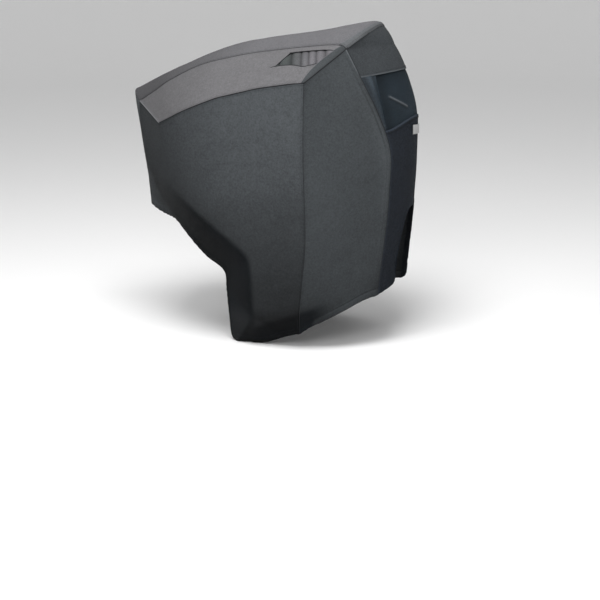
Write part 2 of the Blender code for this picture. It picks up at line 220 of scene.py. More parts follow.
def sweep(t, start, start_turn, end, end_turn):
    """A plan curve from start to end that leaves and arrives at the given turns from +X."""
    reach = np.hypot(end[0] - start[0], end[1] - start[1])
    return (eased(t, start[0], end[0], reach * math.cos(start_turn), reach * math.cos(end_turn)),
            eased(t, start[1], end[1], -reach * math.sin(start_turn), -reach * math.sin(end_turn)))


def beyond(distance):
    """A distance past a crease, eased to nothing before it."""
    return 0.5 * (distance + np.sqrt(distance ** 2 + CREASE_ROUND ** 2))


def creases(x, z):
    """How far x and z lie past the slanting crease, and how far below the crease at the foot."""
    run, fall = CREASE_KNEE[0] - CREASE_START[0], CREASE_START[1] - CREASE_KNEE[1]
    length = math.hypot(run, fall)
    under = -((x - CREASE_START[0]) * fall + (z - CREASE_START[1]) * run) / length
    ahead = CREASE_KNEE[0] - x
    both = 0.5 * (under + ahead - np.sqrt((under - ahead) ** 2 + CREASE_ROUND ** 2))
    foot = FOOT_CREASE[1] + FOOT_SLOPE * (x - FOOT_CREASE[0]) - z
    return both, foot


def tuck(x, z):
    """How far the creases of the front side panel turn the cloth in at x and z."""
    both, foot = creases(x, z)
    return np.maximum(FRONT_TUCK * beyond(both), FOOT_TUCK * beyond(foot) * ramp(x, *FOOT_FADE))


def wall(around, drop):
    """The wall's outer face on the port side. Around is 0 at the front centre, 1 at the side
    seam, 2 at the rear corner and 3 at the rear centre: a rounded bow, then a plan curve, then a
    cubic, each between its stations at that drop, less the tuck of the creases."""
    around, drop = np.broadcast_arrays(np.asarray(around, float), np.asarray(drop, float))
    front_x, seam_x, half, corner_x, corner_half, rear_x = (
        through(drop, PLAN["drop"], PLAN[name]) for name in list(PLAN)[1:])
    angle = np.clip(around, 0, 1) * math.pi / 2
    bow_x = seam_x - (seam_x - front_x) * np.cos(angle) ** (2 / BOW_POWER)
    bow_half = half * np.sin(angle) ** (2 / BOW_POWER)
    side_x, side_half = sweep(np.clip(around - 1, 0, 1), (seam_x, half), SIDE_TURN,
                              (corner_x, corner_half), CORNER_TURN)
    t = np.clip(around - 2, 0, 1)
    back_x = eased(t, corner_x, rear_x, corner_half / np.tan(REAR_TURN), 0)
    x = np.where(around <= 1, bow_x, np.where(around <= 2, side_x, back_x))
    half_width = np.where(around <= 1, bow_half,
                          np.where(around <= 2, side_half, corner_half * (1 - t)))
    half_width = half_width - tuck(x, -drop) * ramp(half_width, *TUCK_FADE)
    return np.stack((x, -half_width, -drop), axis=-1)


def blend(a, b, t):
    """The value a share t of the way from a to b."""
    return a + (b - a) * t


def top_point(q, across):
    """The top's outer face, at row q and across from -1 at the port seam to 1 at starboard."""
    x, half, drop, bow, crown = (column(TOP_SEAM, name, q) for name in TOP_SEAM)
    rise = 1 - across ** 2
    return np.stack(np.broadcast_arrays(x + bow * rise, across * half, crown * rise - drop), axis=-1)


def side_top(around):
    """The front side panel's top edge: straight along the shoulder's front, then its seam."""
    knots, drops = (SIDE_FRONT[k][SHOULDER_CORNER:] for k in ("top_round", "top_drop"))
    share = ramp(around, SIDE_FRONT["top_round"][0], knots[0])[..., None]
    front = blend(top_point(0.0, -1.0), wall(knots[0], drops[0]), share)
    seam = wall(around, through(around, knots, drops))
    return np.where((around < knots[0])[..., None], front, seam)


def hang(top_around, top_drop, edge, hem_around, hem_drop, t):
    """A wall panel from its top edge, down ribs of the wall to its hem."""
    grid = wall(blend(top_around, hem_around, t), blend(top_drop, hem_drop, t))
    return grid + (edge - wall(top_around, top_drop)) * (1 - t[..., None]) ** 3


def side_front_face(u, v):
    """The ribs of the front panel, at u from its front seam to the side seam, hung from the top
    seam to the hem at v down them."""
    rib = u * (len(SIDE_FRONT["top_round"]) - 1)
    top_round, top_drop, hem_round, hem_drop = (column(SIDE_FRONT, name, rib)
                                                for name in SIDE_FRONT)
    return hang(top_round, top_drop, side_top(top_round), hem_round, hem_drop, v)


EDGE_STEPS = (0.0, 0.0007, 0.0015, 0.0025, 0.0036, 0.0048, 0.0060, 0.0072, 0.0085, 0.0100,
              0.0125, 0.0160, 0.0200, 0.0225, 0.0240, 0.0255, 0.0270, 0.0290, 0.0330)


def spread_out(length, step, fine=(True, True)):
    """Places from 0 to 1 along a panel of the given length, closer together near fine ends."""
    ends = [np.array(EDGE_STEPS) if wanted else np.array((0.0,)) for wanted in fine]
    middle = np.linspace(ends[0][-1], length - ends[1][-1],
                         max(2, round((length - ends[0][-1] - ends[1][-1]) / step) + 1))
    return np.concatenate((ends[0][:-1], middle, length - ends[1][::-1][1:])) / length


def face(surface, u, v):
    """The grid of a panel's surface function over places u along it and v down it."""
    along, down = np.meshgrid(u, v)
    return surface(along, down)


def run_along(points, axis):
    """Lengths along the rows (axis 1) or columns (axis 0) of a grid from its first line."""
    steps = np.linalg.norm(np.diff(points, axis=axis), axis=-1)
    pad = [(0, 0), (0, 0)]
    pad[axis] = (1, 0)
    return np.pad(np.cumsum(steps, axis=axis), pad)


def bell(distance, centre, width):
    """One at the centre, falling smoothly to nothing a few widths away from it."""
    return np.exp(-((distance - centre) / width) ** 2)


def foot_facet(x, z):
    """How fully the painted shade of the facet under the crease at the foot shows at x and z."""
    return ramp(creases(x, z)[1] - FACET_LEAN * (FACET_TURN - x), 0.004, 0.020)


# Painted shade, as tone lost in each metre: towards the front corner, which turns from the light, low
# on the wall, where it turns under, and at the very foot ahead of the leg.
FORE_SHADE, FOOT_SHADE, LEG_SHADE = 1.9, 1.10, 2.8       # tone lost in each metre
FACET_LEAN, FACET_TURN = 0.15, 0.095
STRIPE_DEPTH, STRIPE_WIDTH, STRIPE_FROM = 0.20, 0.022, -0.33
PUCKER_DEPTH, PUCKER_PITCH, PUCKER_REACH, PUCKER_TONE = 0.0020, 0.021, 0.035, 120

u = spread_out(0.66, 0.0065)
v = spread_out(0.72, 0.0065)
points = face(side_front_face, u, v)
x, z = points[..., 0], points[..., 2]
to_foot = run_along(points, 0)[-1] - run_along(points, 0)
slant, foot = creases(x, z)
fore = 1 - FORE_SHADE * np.clip(-0.10 - x, 0, 0.29) * np.clip(1 + 2.4 * (z + 0.36), 0.45, 1)
low = (1 - FOOT_SHADE * np.clip(-0.36 - z, 0, 0.38) * ramp(x, -0.40, -0.28)
       - LEG_SHADE * np.clip(-0.82 - z, 0, 0.08) * ramp(x, -0.02, -0.06))
# Painted shade below the slanting crease and on the facet under the foot crease, mixed in as the navy
# second colour.
in_slant = (ramp(slant, -0.019, -0.003) * ramp(x, -0.320, -0.220)
            * np.maximum(0.5, ramp(z, -0.90, -0.80)))
in_facet = foot_facet(x, z) * ramp(x, -0.090, -0.015)
# Painted shade in a slanting stripe at the front corner, a painted lighter zone just ahead of it, and
# painted shade above the slanting crease.
fall = STRIPE_FROM - z
bent = -0.435 + 0.35 * fall + np.clip(fall, 0, 1) ** 2
stripe = STRIPE_DEPTH * bell(x, bent, STRIPE_WIDTH)
ahead_of_it = 1 + 0.42 * ramp(bent - x, 0.008, 0.028) * ramp(fall, 0.01, 0.11)
above_slant = 1 - (0.20 * np.exp(-np.clip(-slant - 0.010, 0, 1) / 0.055)
                   * ramp(x, -0.10, -0.18) * ramp(x, -0.36, -0.32))
# Puckers by the front hem; the tone follows their waves as painted light and shade.
pucker = (PUCKER_DEPTH * np.sin(2 * math.pi * run_along(points, 1) / PUCKER_PITCH)
          * bell(x, -0.345, 0.045) * np.exp(-to_foot / PUCKER_REACH))


def unit(vectors):
    """The vectors, each brought to a length of one."""
    return vectors / np.maximum(np.linalg.norm(vectors, axis=-1, keepdims=True), 1e-12)


def sewn_edge(rise, width, grooves, puckers, soft=0.0012):
    """The form of a seam or hem, as heights by the distance from the edge and the run along it:
    a rise over the allowance's width, less a bell for each groove, and uneven puckers that die
    away from the stitches."""
    depth, pitch, reach = puckers

    def height(distance, run):
        """The height at a distance from the edge, at a run along it."""
        turn = 2 * math.pi * run / pitch
        wave = np.sin(turn + 1.9 * np.sin(turn / 6.3)) * (0.6 + 0.4 * np.sin(turn / 9.1 + 0.7))
        return (0.5 * rise * (1 - np.tanh((distance - width) / soft))
                - sum(deep * bell(distance, at, spread) for deep, at, spread in grooves)
                + depth * wave * np.exp(-distance / reach))
    return height


under_seam = sewn_edge(0.0, 0.0, ((0.0010, 0, 0.0014),), (0.00035, 0.017, 0.014))
felled_seam = sewn_edge(0.0009, 0.0085, ((0.0012, 0, 0.0009), (0.0005, 0.0060, 0.0010)),
                        (0.0004, 0.015, 0.016))
folded_hem = sewn_edge(0.0014, 0.0262, ((0.0012, 0, 0.0012), (0.0013, 0.0240, 0.0015)),
                (0.0007, 0.023, 0.022), soft=0.0015)
SLACK_WAVES = table(
    "x y z phase",
    (0.83, 0.31, 0.46, 0.4), (-0.42, 0.55, 0.72, 2.1), (0.61, -0.70, 0.38, 4.4),
    (-0.15, -0.52, 0.84, 1.3), (0.95, 0.12, -0.29, 5.2), (0.28, 0.66, -0.70, 3.3),
)


def slack(points, length):
    """Soft uneven fullness of the given wavelength: a sum of crossing waves, about one high."""
    total = 0.0
    for x, y, z, phase in zip(*SLACK_WAVES.values()):
        lead = points @ np.array((x, y, z))
        total = total + np.sin(2 * math.pi * lead / length + phase
                               + 1.3 * np.sin(2 * math.pi * lead / (2.7 * length) + 2 * phase))
    return total / 3.0


def normals_of(points):
    """The way the cloth faces: across its columns and rows at each point of the grid."""
    return unit(np.cross(np.gradient(points, axis=0), np.gradient(points, axis=1)))


def inset(points, sides="tblr"):
    """Draws the sewn edges of a grid back from their seams by a small gap."""
    points = points.copy()
    for side, edge, inner in (("t", np.s_[0], np.s_[3]), ("b", np.s_[-1], np.s_[-4]),
                              ("l", np.s_[:, 0], np.s_[:, 3]), ("r", np.s_[:, -1], np.s_[:, -4])):
        if side in sides:
            points[edge] += SEAM_INSET * unit(points[inner] - points[edge])
    return points


def mirrored(points):
    """The starboard copy of a port grid."""
    return points[:, ::-1] * (1.0, -1.0, 1.0)


def flipped(value):
    """A value over a port panel's grid or cells, turned round for starboard."""
    return value[:, ::-1] if np.ndim(value) == 2 else value


class Panel:
    """A sheet of cloth. Edges gives the seam on its top, bottom, left and right; relief is what
    lifts it besides, in metres; hole marks the cells left open; tone is the painted light and
    shade on its colour, and the share of the second colour given with it is painted light and
    shade on most panels but a band's own colour on the shoulders and the top."""

    def __init__(self, name, node, points, edges, finish, slot, flat, area=None, relief=0.0,
                 hole=None, slack_depth=0.0009, thickness=CLOTH, held="stretched", tone=1.0,
                 patch=0.0):
        shape = points.shape[:2]
        down, along = run_along(points, 0), run_along(points, 1)
        self.distance = {"top": down, "bottom": down[-1] - down,
                         "left": along, "right": along[:, -1:] - along}
        run = {"top": along, "bottom": along, "left": down, "right": down}
        fullness = slack(points, SLACK_LONG) + 0.35 * slack(points, SLACK_SHORT)
        height = relief + slack_depth * fullness
        from_seam = np.full(shape, 1.0)
        for side, seam in edges.items():
            height = height + seam(self.distance[side], run[side])
            from_seam = np.minimum(from_seam, self.distance[side])
        self.normal = normals_of(points)
        lift = self.normal * np.broadcast_to(height, shape)[..., None]
        self.points = points + lift - (0.0, 0.0, MOUNT_LEVEL)
        index = np.arange(down.size).reshape(shape)
        cells = np.stack((index[:-1, :-1], index[1:, :-1], index[1:, 1:], index[:-1, 1:]), axis=-1)
        cells = cells.reshape(-1, 4) if hole is None else cells[~hole]
        used, cells = np.unique(cells, return_inverse=True)
        cells = cells.reshape(-1, 4)
        piece = smooth_piece(name, self.points.reshape(-1, 3)[used], cells.tolist(), finish)
        flat_map = piece.data.uv_layers.new(name="cloth")
        places = np.stack((along, down), axis=-1).reshape(-1, 2)[used][cells.reshape(-1)]
        flat_map.data.foreach_set("uv", places.reshape(-1).astype(np.float32))
        # Painted shade: the colour darkens where the cloth faces down, and goes with the panel's
        # painted tone into one attribute.
        turned_under = np.clip(-normals_of(self.points)[..., 2] / UNDERSIDE_SLOPE, 0, 1)
        for label, values in (("dye", tone * (1 - UNDERSIDE_SHADE * turned_under)),
                              ("patch", patch), ("sewn", np.exp(-from_seam / SEWN_REACH))):
            values = np.broadcast_to(values, shape).reshape(-1)[used].astype(np.float32)
            layer = piece.data.attributes.new(label, "FLOAT", "POINT")
            layer.data.foreach_set("value", values)
        solid = piece.modifiers.new("thickness", "SOLIDIFY")
        solid.thickness, solid.offset = thickness, -1.0
        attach(piece, "root")
        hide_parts(node)

    def line(self, side, inwards, outwards=0.0):
        """Points at a distance inwards from one edge of the finished cloth, and the normals."""
        distance, points, normal = self.distance[side], self.points, self.normal
        if side in ("top", "bottom"):
            distance, points, normal = distance.T, points.swapaxes(0, 1), normal.swapaxes(0, 1)
        if side in ("bottom", "right"):
            distance, points, normal = distance[:, ::-1], points[:, ::-1], normal[:, ::-1]
        both = np.concatenate((points, normal), axis=-1)
        found = np.array([[np.interp(inwards, d, each) for each in row.T]
                          for d, row in zip(distance, both)])
        facing = unit(found[:, 3:])
        return found[:, :3] + facing * outwards, facing


def panel_pair(name, surface, u, v, edges, finish, slot, flat, area, **more):
    """The port and starboard copies of a panel, the second mirrored with all that is on it."""
    points = face(surface, u, v)
    sewn = "".join(side[0] for side, seam in edges.items() if seam is not folded_hem)
    other = {"left": "right", "right": "left"}
    port = Panel(f"{name}_port_cloth", f"{name}_port", inset(points, sewn), edges, finish, slot,
                 flat, area, **more)
    edges = {other.get(side, side): seam for side, seam in edges.items()}
    more = {key: flipped(value) for key, value in more.items()}
    starboard = Panel(f"{name}_starboard_cloth", f"{name}_starboard",
                      inset(mirrored(points), sewn), edges, finish, slot, flat, area, **more)
    return port, starboard


class Wire:
    """A value in a material's node tree, on which arithmetic adds Math nodes."""

    def __init__(self, tree, socket):
        self.tree, self.socket = tree, socket

    def math(self, operation, *values):
        node = self.tree.nodes.new("ShaderNodeMath")
        node.operation = operation
        for socket, value in zip(node.inputs, values):
            if isinstance(value, Wire):
                self.tree.links.new(value.socket, socket)
            else:
                socket.default_value = value
        return Wire(self.tree, node.outputs[0])

    def __add__(self, other):
        return self.math("ADD", self, other)

    def __radd__(self, other):
        return self.math("ADD", other, self)

    def __sub__(self, other):
        return self.math("SUBTRACT", self, other)

    def __rsub__(self, other):
        return self.math("SUBTRACT", other, self)

    def __mul__(self, other):
        return self.math("MULTIPLY", self, other)

    def __rmul__(self, other):
        return self.math("MULTIPLY", other, self)

    def sine(self):
        return self.math("SINE", self)

    def clamped(self, low=0.0, high=1.0):
        return self.math("MINIMUM", self.math("MAXIMUM", self, low), high)


class Finish:
    """A Principled material under construction."""

    def __init__(self, name):
        self.material = bpy.data.materials.new(name)
        self.material.use_nodes = True
        self.tree = self.material.node_tree
        self.sockets = self.tree.nodes["Principled BSDF"].inputs
        self.place = self.node("ShaderNodeTexCoord", {}, {}, "Object")

    def put(self, socket, value):
        """Links a wire to a socket, or sets a plain value on the socket itself."""
        if isinstance(value, Wire):
            self.tree.links.new(value.socket, socket)
        else:
            socket.default_value = value

    def shader(self, **values):
        """Values or wires for the shader's own sockets."""
        for name, value in values.items():
            self.put(self.sockets[name.replace("_", " ")], value)

    def node(self, kind, settings, sockets, output=0):
        """A node of the given type: its settings made first, then its sockets by name or
        number."""
        made = self.tree.nodes.new(kind)
        for name, value in settings.items():
            setattr(made, name, value)
        for key, value in sockets.items():
            self.put(made.inputs[key], value)
        return Wire(self.tree, made.outputs[output])

    def split(self, vector):
        first = self.node("ShaderNodeSeparateXYZ", {}, {"Vector": vector})
        return [Wire(self.tree, socket) for socket in first.socket.node.outputs]

    def cloth_map(self):
        """Lengths along the cloth and down it."""
        return self.split(self.node("ShaderNodeUVMap", {"uv_map": "cloth"}, {}))[:2]

    def attribute(self, name):
        return self.node("ShaderNodeAttribute", {"attribute_name": name}, {}, "Fac")

    def mix(self, factor, first, second):
        return self.node("ShaderNodeMix", {"data_type": "RGBA"}, {0: factor, 6: first, 7: second},
                         2)

    def noise(self, scale, detail):
        return self.node("ShaderNodeTexNoise", {}, {"Vector": self.place, "Scale": scale,
                                                    "Detail": detail, "Roughness": 0.55})

    def bump(self, height, distance, strength):
        self.shader(Normal=self.node("ShaderNodeBump", {}, {
            "Height": height, "Distance": distance, "Strength": strength}))

    def set_base_colour(self, tone, colour, second):
        """The base colour: the colour, or the second where its share is one, times the tone
        and the panel's painted light and shade.
        """
        high = self.mix(self.attribute("patch"), shade(colour, 2.0), shade(second, 2.0))
        factor = (tone * self.attribute("dye") * 0.5).clamped()
        self.shader(Base_Color=self.mix(factor, shade(colour, 0.0), high),
                    Specular_IOR_Level=0.08, Sheen_Weight=0.015)


def shade(colour, factor):
    """A colour times a factor, no brighter than white."""
    return (*(min(1.0, c * factor) for c in colour), 1.0)


THREAD = 0.0016                      # pitch of the weave
PAINTED_SHADE_TOP, PAINTED_SHADE_FOOT = -0.12, -0.90   # heights between which the wall's cloth darkens


def woven(name, colour, foot=1.0, mottle=0.10, thread=THREAD, second=None):
    """Coarse plain-woven cloth of the given colour, with painted shade that darkens it to the factor
    foot at its foot, and of the second colour where its share is one."""
    made = Finish(name)
    along, down = made.cloth_map()
    warp = (along * (2 * math.pi / thread)).sine()
    weft = (down * (2 * math.pi / thread)).sine()
    grain = made.noise(420.0, 2.0)
    blotch = made.noise(7.0, 4.0)
    speck = made.noise(62.0, 3.0)
    slub = made.noise(175.0, 2.0)
    tone = (1 + (blotch - 0.5) * (2.2 * mottle) + (speck - 0.5) * (2.8 * mottle)
            + (slub - 0.5) * (6.0 * mottle) + (grain - 0.5) * 0.40 + warp * weft * 0.06)
    height = made.split(made.place)[2]
    # Painted shade: the cloth darkens downwards between the two heights, to the factor foot.
    fall = ((height - PAINTED_SHADE_TOP) * (1 / (PAINTED_SHADE_FOOT - PAINTED_SHADE_TOP))).clamped()
    tone = tone * (1 - fall * (1 - foot)) * (1 - made.attribute("sewn") * 0.16)
    made.set_base_colour(tone, colour, second or colour)
    made.shader(Roughness=(0.80 + (speck - 0.5) * 0.14).clamped(), Sheen_Roughness=0.45)
    made.bump(warp * weft * 0.5 + (grain - 0.5) * 0.9 + (slub - 0.5) * 1.2 + (speck - 0.5) * 1.4,
              0.0007, 0.8)
    return made.material


# The side's charcoal cloth; its navy second colour is the painted shade of the creases and the stripe.
side_cloth = woven("side_cloth", (0.067, 0.0735, 0.079), foot=0.50,
                   mottle=0.125, second=(0.0096, 0.0132, 0.0174))
side_front = panel_pair("side_front", side_front_face, u, v,
                        {"top": under_seam, "left": under_seam, "right": felled_seam,
                         "bottom": folded_hem},
                        side_cloth, "charcoal_cloth", (0.72, 0.83), 0.372,
                        tone=fore * low * ahead_of_it * above_slant * (1 + PUCKER_TONE * pucker),
                        patch=np.clip(np.maximum(in_slant, 0.94 * in_facet) + stripe, 0, 1),
                        relief=pucker)

# ---------------------------------------------------------------------------------------------
# Rear side panels. Each is of the same polyester, from the upright seam in the side to the rear
# corner, where a felled seam with two rows of stitches holds it. The hem carries on below.

TOP_END = len(TOP_SEAM["x"]) - 1.0
SIDE_REAR = table(
    "hem_round hem_drop",
    (1.000, 0.880), (1.125, 0.857), (1.250, 0.842), (1.375, 0.826),
    (1.500, 0.811), (1.625, 0.796), (1.750, 0.781), (1.875, 0.770), (2.000, 0.763),
)


def side_rear_face(u, v):
    """The ribs of the rear side, at u from the side seam to the corner, hung from a straight
    edge under the shoulder's band to the hem at v down them."""
    edge = blend(side_top(np.array(1.0)), top_point(TOP_END, -1.0), u[..., None])
    rib = u * (len(SIDE_REAR["hem_round"]) - 1)
    return hang(1 + u, -edge[..., 2], edge, column(SIDE_REAR, "hem_round", rib),
                column(SIDE_REAR, "hem_drop", rib), v)


twin_seam = sewn_edge(0.0012, 0.0165, ((0.0012, 0, 0.0009), (0.0005, 0.0025, 0.0009),
                                       (0.0005, 0.0140, 0.0010)), (0.0004, 0.019, 0.018))
CORNER_BEAD_HIGHLIGHT, CORNER_HIGHLIGHT, CORNER_SHADE, HEM_GROOVE_SHADE = 1.2, 0.30, 0.20, 0.40

u = spread_out(0.27, 0.0065)
v = spread_out(0.74, 0.0065)
points = face(side_rear_face, u, v)
x, z = points[..., 0], points[..., 2]
to_corner = run_along(points, 1)[:, -1:] - run_along(points, 1)
to_foot = run_along(points, 0)[-1] - run_along(points, 0)
# Painted light and shade: a highlight on the corner seam's bead and a broader one beside it, shade low
# on the panel and at its low corner, shade on the facet, and a shadow in the hem's groove.
bead = (1 + CORNER_BEAD_HIGHLIGHT * bell(to_corner, 0.0032, 0.0024) * ramp(z, -0.095, -0.075)
        + CORNER_HIGHLIGHT * bell(to_corner, 0.010, 0.026) * bell(z, -0.32, 0.14))
rows = bell(z, -0.20, 0.10) * (0.50 * bell(to_corner, 0, 0.0034)
                               + 0.30 * bell(to_corner, 0.014, 0.0026))
low = ((1 - 1.7 * np.clip(-0.68 - z, 0, 0.18) * (to_foot > 0.0265))
       * (1 - CORNER_SHADE * bell(to_corner, 0, 0.055) * ramp(z, -0.60, -0.72)))
in_facet = (foot_facet(x, z) * ramp(x, 0.205, 0.155)
            * ramp(to_foot + 2 * np.clip(0.16 - x, 0, 1), 0.020, 0.028))
# Painted shade: the same polyester as the front side panels, coloured darker and bluer for a panel
# turned aft from the light, with a navy second colour for the shade of the facet.
aft_cloth = woven("aft_cloth", (0.050, 0.0555, 0.0595), foot=0.98,
                  second=(0.0125, 0.0165, 0.0210))
side_rear = panel_pair("side_rear", side_rear_face, u, v,
                       {"top": under_seam, "left": under_seam, "right": twin_seam,
                        "bottom": folded_hem},
                       aft_cloth, "charcoal_cloth", (0.32, 0.88), 0.190,
                       tone=low * bead * (1 - rows) * (1 - HEM_GROOVE_SHADE * bell(to_foot, 0.0243, 0.0026)),
                       patch=in_facet)

# ---------------------------------------------------------------------------------------------
# Shoulders. A facet of polyester slopes from each side up to the top and is sewn in between
# them. It is coloured pale grey, partly as painted light on its upward slope, and painted shade
# darkens its forward end. A darker band edges it at the rear, and the vent window ahead of the
# band opens under a proud lip.

SHOULDER = table(
    "seam_row round",
    (0.00, 0.537), (1.20, 0.600), (2.20, 0.660), (3.00, 0.720), (3.80, 0.770), (4.50, 0.810),
    (5.00, 0.850), (5.45, 0.885), (5.95, 0.916), (6.33, 0.941), (6.67, 0.966), (7.00, 0.990),
    (8.00, 1.000),
)
SHOULDER_RIBS = len(SHOULDER["round"]) - 1
SHOULDER_FULLNESS, BAND_BOW = 0.006, 0.012
BAND_HEIGHT, BAND_GROOVE = 0.0020, 0.0012
LIP_HEIGHT, LIP_REACH, RIM_HEIGHT, RIM_REACH = 0.0028, 0.014, 0.0012, 0.006
WINDOW_TOP, WINDOW_FOOT, WINDOW_SAG = 0.15, 0.50, 0.105
WINDOW_SIDES, SHOULDER_DEPTH = (7.95, 11.4), 0.17
window_u = np.array(WINDOW_SIDES) / SHOULDER_RIBS


def shoulder_face(u, v):
    """Straight lines from the top's seam down to the side's, at u along them and v down them,
    drawn forward at the band. Returned with the belly that stands out between the seams."""
    rib = u * SHOULDER_RIBS
    knots = np.arange(SHOULDER_RIBS + 1, dtype=float)
    upper = top_point(np.interp(rib, knots, SHOULDER["seam_row"]), -1.0)
    lower = side_top(np.interp(rib, knots, SHOULDER["round"]))
    grid = blend(upper, lower, v[..., None])
    band_share = np.clip(1 - np.abs(rib - knots[-2]), 0, 1) * np.sin(math.pi * v)
    grid[..., 0] -= BAND_BOW * band_share
    belly = np.sin(math.pi * v) * np.clip(np.minimum(rib, knots[-1] - rib), 0, 1)
    return grid, SHOULDER_FULLNESS * belly


def band_edge(v):
    """The rib on which the band along the shoulder's rear edge begins, at v down it."""
    return 11.22 + 0.25 * v + 0.38 * v ** 6


def shoulder_ribs(along, down):
    """The ribs of the shoulder, bent so that one column follows the band's inner edge."""
    front, rear = window_u
    edge = band_edge(down)
    middle = blend(WINDOW_SIDES[0], edge, ramp(along, front, rear))
    last = edge + (SHOULDER_RIBS - edge) * (along - rear) / (1 - rear)
    return np.where(along < front, along * SHOULDER_RIBS, np.where(along < rear, middle, last))


def shoulder_rows(along, down):
    """The rows of the shoulder, let down a little towards the rear of the window's foot."""
    low = np.where(down < WINDOW_FOOT, down / WINDOW_FOOT, (1 - down) / (1 - WINDOW_FOOT)) ** 2
    share = ramp(along * SHOULDER_RIBS, *WINDOW_SIDES)
    return down + WINDOW_SAG * low * np.sin(math.pi * share ** 3)


def shoulder_points(along, down):
    """The shoulder's straight lines, read at its bent ribs and let-down rows."""
    rows = shoulder_rows(along, down)
    return shoulder_face(shoulder_ribs(along, rows) / SHOULDER_RIBS, rows)[0]


def banded(across):
    """The swell of the band at a rear edge, and the share of its colour, by how far across it
    from its inner edge."""
    return BAND_HEIGHT * np.sin(math.pi * across) ** 0.7, 0.5 * (1 + np.tanh((across - 0.06) * 30))


beside_it = np.array((0.006, 0.014, 0.026, 0.04))
u_shoulder = np.unique(np.round(np.concatenate((
    spread_out(0.78, 0.0065), window_u, window_u[0] - np.array((0.0025, 0.005, 0.009)),
    np.linspace(window_u[1], 1, 22))), 5))
v_shoulder = np.unique(np.round(np.concatenate((
    spread_out(0.17, 0.0050), (WINDOW_TOP, WINDOW_FOOT), WINDOW_TOP - beside_it,
    WINDOW_FOOT + beside_it)), 5))
along, down = np.meshgrid(u_shoulder, v_shoulder)
rib = shoulder_ribs(along, down)
across_band = ramp(along, window_u[1], 1)
swell, band_share = banded(across_band)
over_window = np.clip((WINDOW_TOP - down) * SHOULDER_DEPTH, 0, None)
under_window = np.clip((down - WINDOW_FOOT) * SHOULDER_DEPTH, 0, None)
beside = 0.5 * (np.tanh((along - window_u[0]) * 90 + 1) - np.tanh((along - window_u[1]) * 90 - 1))
lip = LIP_HEIGHT * bell(over_window, 0, LIP_REACH) * (down <= WINDOW_TOP) * beside
rim = RIM_HEIGHT * bell(under_window, 0, RIM_REACH) * (down >= WINDOW_FOOT) * beside
relief = (shoulder_face(rib / SHOULDER_RIBS, down)[1] + lip + rim + swell
          - BAND_GROOVE * bell(across_band, 0.0, 0.10) * (along > 0.9))
cell_u, cell_v = np.meshgrid((u_shoulder[:-1] + u_shoulder[1:]) / 2,
                             (v_shoulder[:-1] + v_shoulder[1:]) / 2)
window = ((cell_u > window_u[0]) & (cell_u < window_u[1])
          & (cell_v > WINDOW_TOP) & (cell_v < WINDOW_FOOT))
# Coloured pale grey partly as painted light on the upward slope; the tone is painted shade towards the
# forward end, and the band's darker second colour is its own.
shoulder_cloth = woven("shoulder_cloth", (0.136, 0.1335, 0.139), mottle=0.09,
                       second=(0.056, 0.061, 0.065))
shoulder = panel_pair("shoulder", shoulder_points, u_shoulder, v_shoulder,
                      {"top": under_seam, "bottom": felled_seam, "left": felled_seam,
                       "right": under_seam},
                      shoulder_cloth, "light_grey_cloth", (0.78, 0.20), 0.104, relief=relief,
                      tone=1 - 0.22 * ramp(rib, 4, 1), patch=band_share, hole=window,
                      slack_depth=0.0006)

# ---------------------------------------------------------------------------------------------
# Shoulder vents. Behind each window a strip of knitted mesh is gathered into upright pleats and
# sewn down past the window's edges. It is greener and darker at its front end.

PLEATS, PLEAT_DEPTH, PLEAT_LEAN = 7, 0.0036, 0.36
VENT_SINK, VENT_CLEARANCE = 0.0026, 0.0026
MESH_HOLE, MESH_THICKNESS = 0.0026, 0.0008


def mesh_cloth(name, colour, second):
    """Open knitted mesh: a net of round holes, darker in the holes."""
    made = Finish(name)
    along, down = made.cloth_map()
    turn = 2 * math.pi / MESH_HOLE
    net = ((along + down) * turn).sine() * ((along - down) * turn).sine()
    grain = made.noise(300.0, 2.0)
    blotch = made.noise(9.0, 3.0)
    made.set_base_colour(0.92 + net * 0.35 + (grain - 0.5) * 0.5 + (blotch - 0.5) * 0.5, colour, second)
    made.shader(Roughness=(0.72 + net * 0.08).clamped())
    made.bump(net + (grain - 0.5) * 0.6, 0.0007, 0.8)
    return made.material


u = np.linspace(window_u[0] - 0.008, window_u[1] + 0.006, 121)
v = np.linspace(WINDOW_TOP - 0.035, WINDOW_FOOT + 0.035, 25)
along, down = np.meshgrid(u, v)
behind = face(shoulder_points, u, v)
lean = behind[..., 0] + PLEAT_LEAN * behind[..., 1]
share = (lean - lean.min()) / (lean.max() - lean.min())
fold = np.abs(np.sin(math.pi * PLEATS * (share + 0.030 * np.sin(9 * share + 1)))) ** 0.6
deep = VENT_SINK * (0.35 + 0.65 * np.clip((WINDOW_FOOT - down) / 0.35, 0, 1))
belly = shoulder_face(shoulder_ribs(along, down) / SHOULDER_RIBS, down)[1]
pleat_cloth = mesh_cloth("pleat_cloth", (0.070, 0.078, 0.078), (0.165, 0.160, 0.172))
# Painted light and shade: the tone is lighter on the pleats' crests and darker in their folds.
panel_pair("shoulder_vent", shoulder_points, u, v, {}, pleat_cloth, "vent_mesh", (0.23, 0.08),
           0.0112, relief=belly - VENT_CLEARANCE - deep + PLEAT_DEPTH * fold,
           tone=0.42 + 0.66 * fold, patch=np.clip(share * 2.8 - 0.75, 0, 1),
           slack_depth=0.0002, thickness=MESH_THICKNESS, held="gathered")

# ---------------------------------------------------------------------------------------------
# Top panel. One long crowned panel of polyester is felled to the shoulders at its sides. It is
# coloured pale, partly as painted light on its upward face. Its rear edge turns down in a band
# like theirs, and painted shade darkens it towards the front, which slopes away from the light.

ROLL_START, ROLL_EDGE = 7.3, 0.3


def top_face(along, down):
    """The crowned top, at a share along it from the front and down from starboard to port."""
    return top_point(along * TOP_END, 1 - 2 * down)


